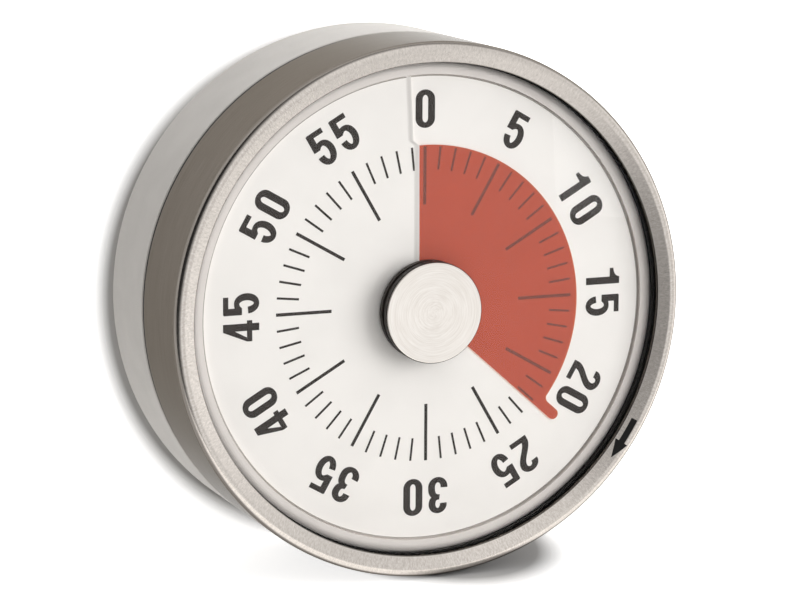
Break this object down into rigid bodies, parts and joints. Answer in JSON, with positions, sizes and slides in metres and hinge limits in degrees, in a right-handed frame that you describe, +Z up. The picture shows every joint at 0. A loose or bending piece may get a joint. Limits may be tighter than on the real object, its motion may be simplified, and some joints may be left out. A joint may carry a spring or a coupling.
{
  "type": "visual countdown timer",
  "caption": "Round magnet-backed sixty-minute timer: turning steel bezel, clear lens and centre cap, red film over a white minute dial, wound spring movement with bell.",
  "frame": {"origin": "centre of the magnet's face on the back, the face that the timer is hung by", "axes": "-Y out of the dial towards the reader, +Z up through the zero mark, +X to the reader's right"},
  "size_m": [0.078, 0.031, 0.078],
  "materials": {
    "case_plastic": "satin silver-grey moulded ABS",
    "dark_plastic": "fine spark-eroded texture, near black",
    "magnet_metal": "ground ferrite face, dark grey",
    "screw_steel": "zinc-plated steel",
    "white_plastic": "smooth white moulded ABS",
    "dial_white": "matt white printed polyester sheet",
    "plate_brass": "stamped brass, satin",
    "turned_steel": "turned steel, bright",
    "bell_steel": "nickel-plated steel",
    "spring_steel": "blued spring steel",
    "bezel_steel": "circumferentially brushed stainless steel",
    "clear_lens": "clear polished acrylic",
    "cap_metal": "spun aluminium with fine rings, pale satin",
    "red_film": "matt warm red polyester film",
    "wheel_brass": "polished brass"
  },
  "bodies": {
    "case": {"rear_case": "case_plastic", "back_cover": "dark_plastic", "magnet": "magnet_metal", "cover_screws": "screw_steel", "dial_tray": "white_plastic", "dial_sheet": "dial_white", "front_plate": "plate_brass", "back_plate": "plate_brass", "plate_pillars": "turned_steel", "pillar_nuts": "screw_steel", "movement_screws": "screw_steel", "bell": "bell_steel", "bell_post": "turned_steel", "bell_screw": "screw_steel", "mainspring": "spring_steel", "hammer_spring": "spring_steel"},
    "turning_head": {"bezel_cover": "bezel_steel", "bezel_carrier": "dark_plastic", "lens": "clear_lens", "centre_cap": "cap_metal", "arbor": "turned_steel", "film_hub": "white_plastic", "time_film": "red_film", "great_wheel": "wheel_brass", "ratchet_wheel": "turned_steel", "click": "turned_steel", "click_spring": "spring_steel", "strike_cam": "wheel_brass", "arbor_clip": "spring_steel"},
    "second_arbor": {"second_wheel": "wheel_brass", "second_pinion": "turned_steel"},
    "third_arbor": {"third_wheel": "wheel_brass", "third_pinion": "turned_steel"},
    "escape_arbor": {"escape_wheel": "wheel_brass", "escape_pinion": "turned_steel"},
    "pallet_balance": {"pallet_lever": "turned_steel", "balance": "wheel_brass"},
    "striker": {"hammer": "turned_steel"}
  },
  "joints": [
    {"name": "bezel_turn", "type": "hinge", "parent": "case", "child": "turning_head", "pos_m": [0, -0.0151, 0], "axis": [0, 1, 0], "range_deg": [-132, 228], "deforming": ["time_film", "mainspring"]},
    {"name": "second_turn", "type": "hinge", "parent": "case", "child": "second_arbor", "pos_m": [-0.01644, -0.0151, -0.00599], "axis": [0, 1, 0], "range_deg": [-1368, 792]},
    {"name": "third_turn", "type": "hinge", "parent": "case", "child": "third_arbor", "pos_m": [-0.00924, -0.0151, -0.01474], "axis": [0, 1, 0], "range_deg": [-4752, 8208]},
    {"name": "escape_turn", "type": "hinge", "parent": "case", "child": "escape_arbor", "pos_m": [-0.00074, -0.0151, -0.01758], "axis": [0, 1, 0], "range_deg": [-57456, 33264]},
    {"name": "balance_swing", "type": "hinge", "parent": "case", "child": "pallet_balance", "pos_m": [0.00645, -0.0151, -0.01734], "axis": [0, 1, 0], "range_deg": [-6, 6]},
    {"name": "hammer_swing", "type": "hinge", "parent": "case", "child": "striker", "pos_m": [0.00962, -0.0151, 0.0181], "axis": [0, 1, 0], "range_deg": [-2, 8], "stiffness_Nm_per_rad": 0.005}
  ],
  "couplings": [
    {"joint": "second_turn", "follows": "bezel_turn", "ratio": -6},
    {"joint": "third_turn", "follows": "bezel_turn", "ratio": 36},
    {"joint": "escape_turn", "follows": "bezel_turn", "ratio": -252}
  ]
}
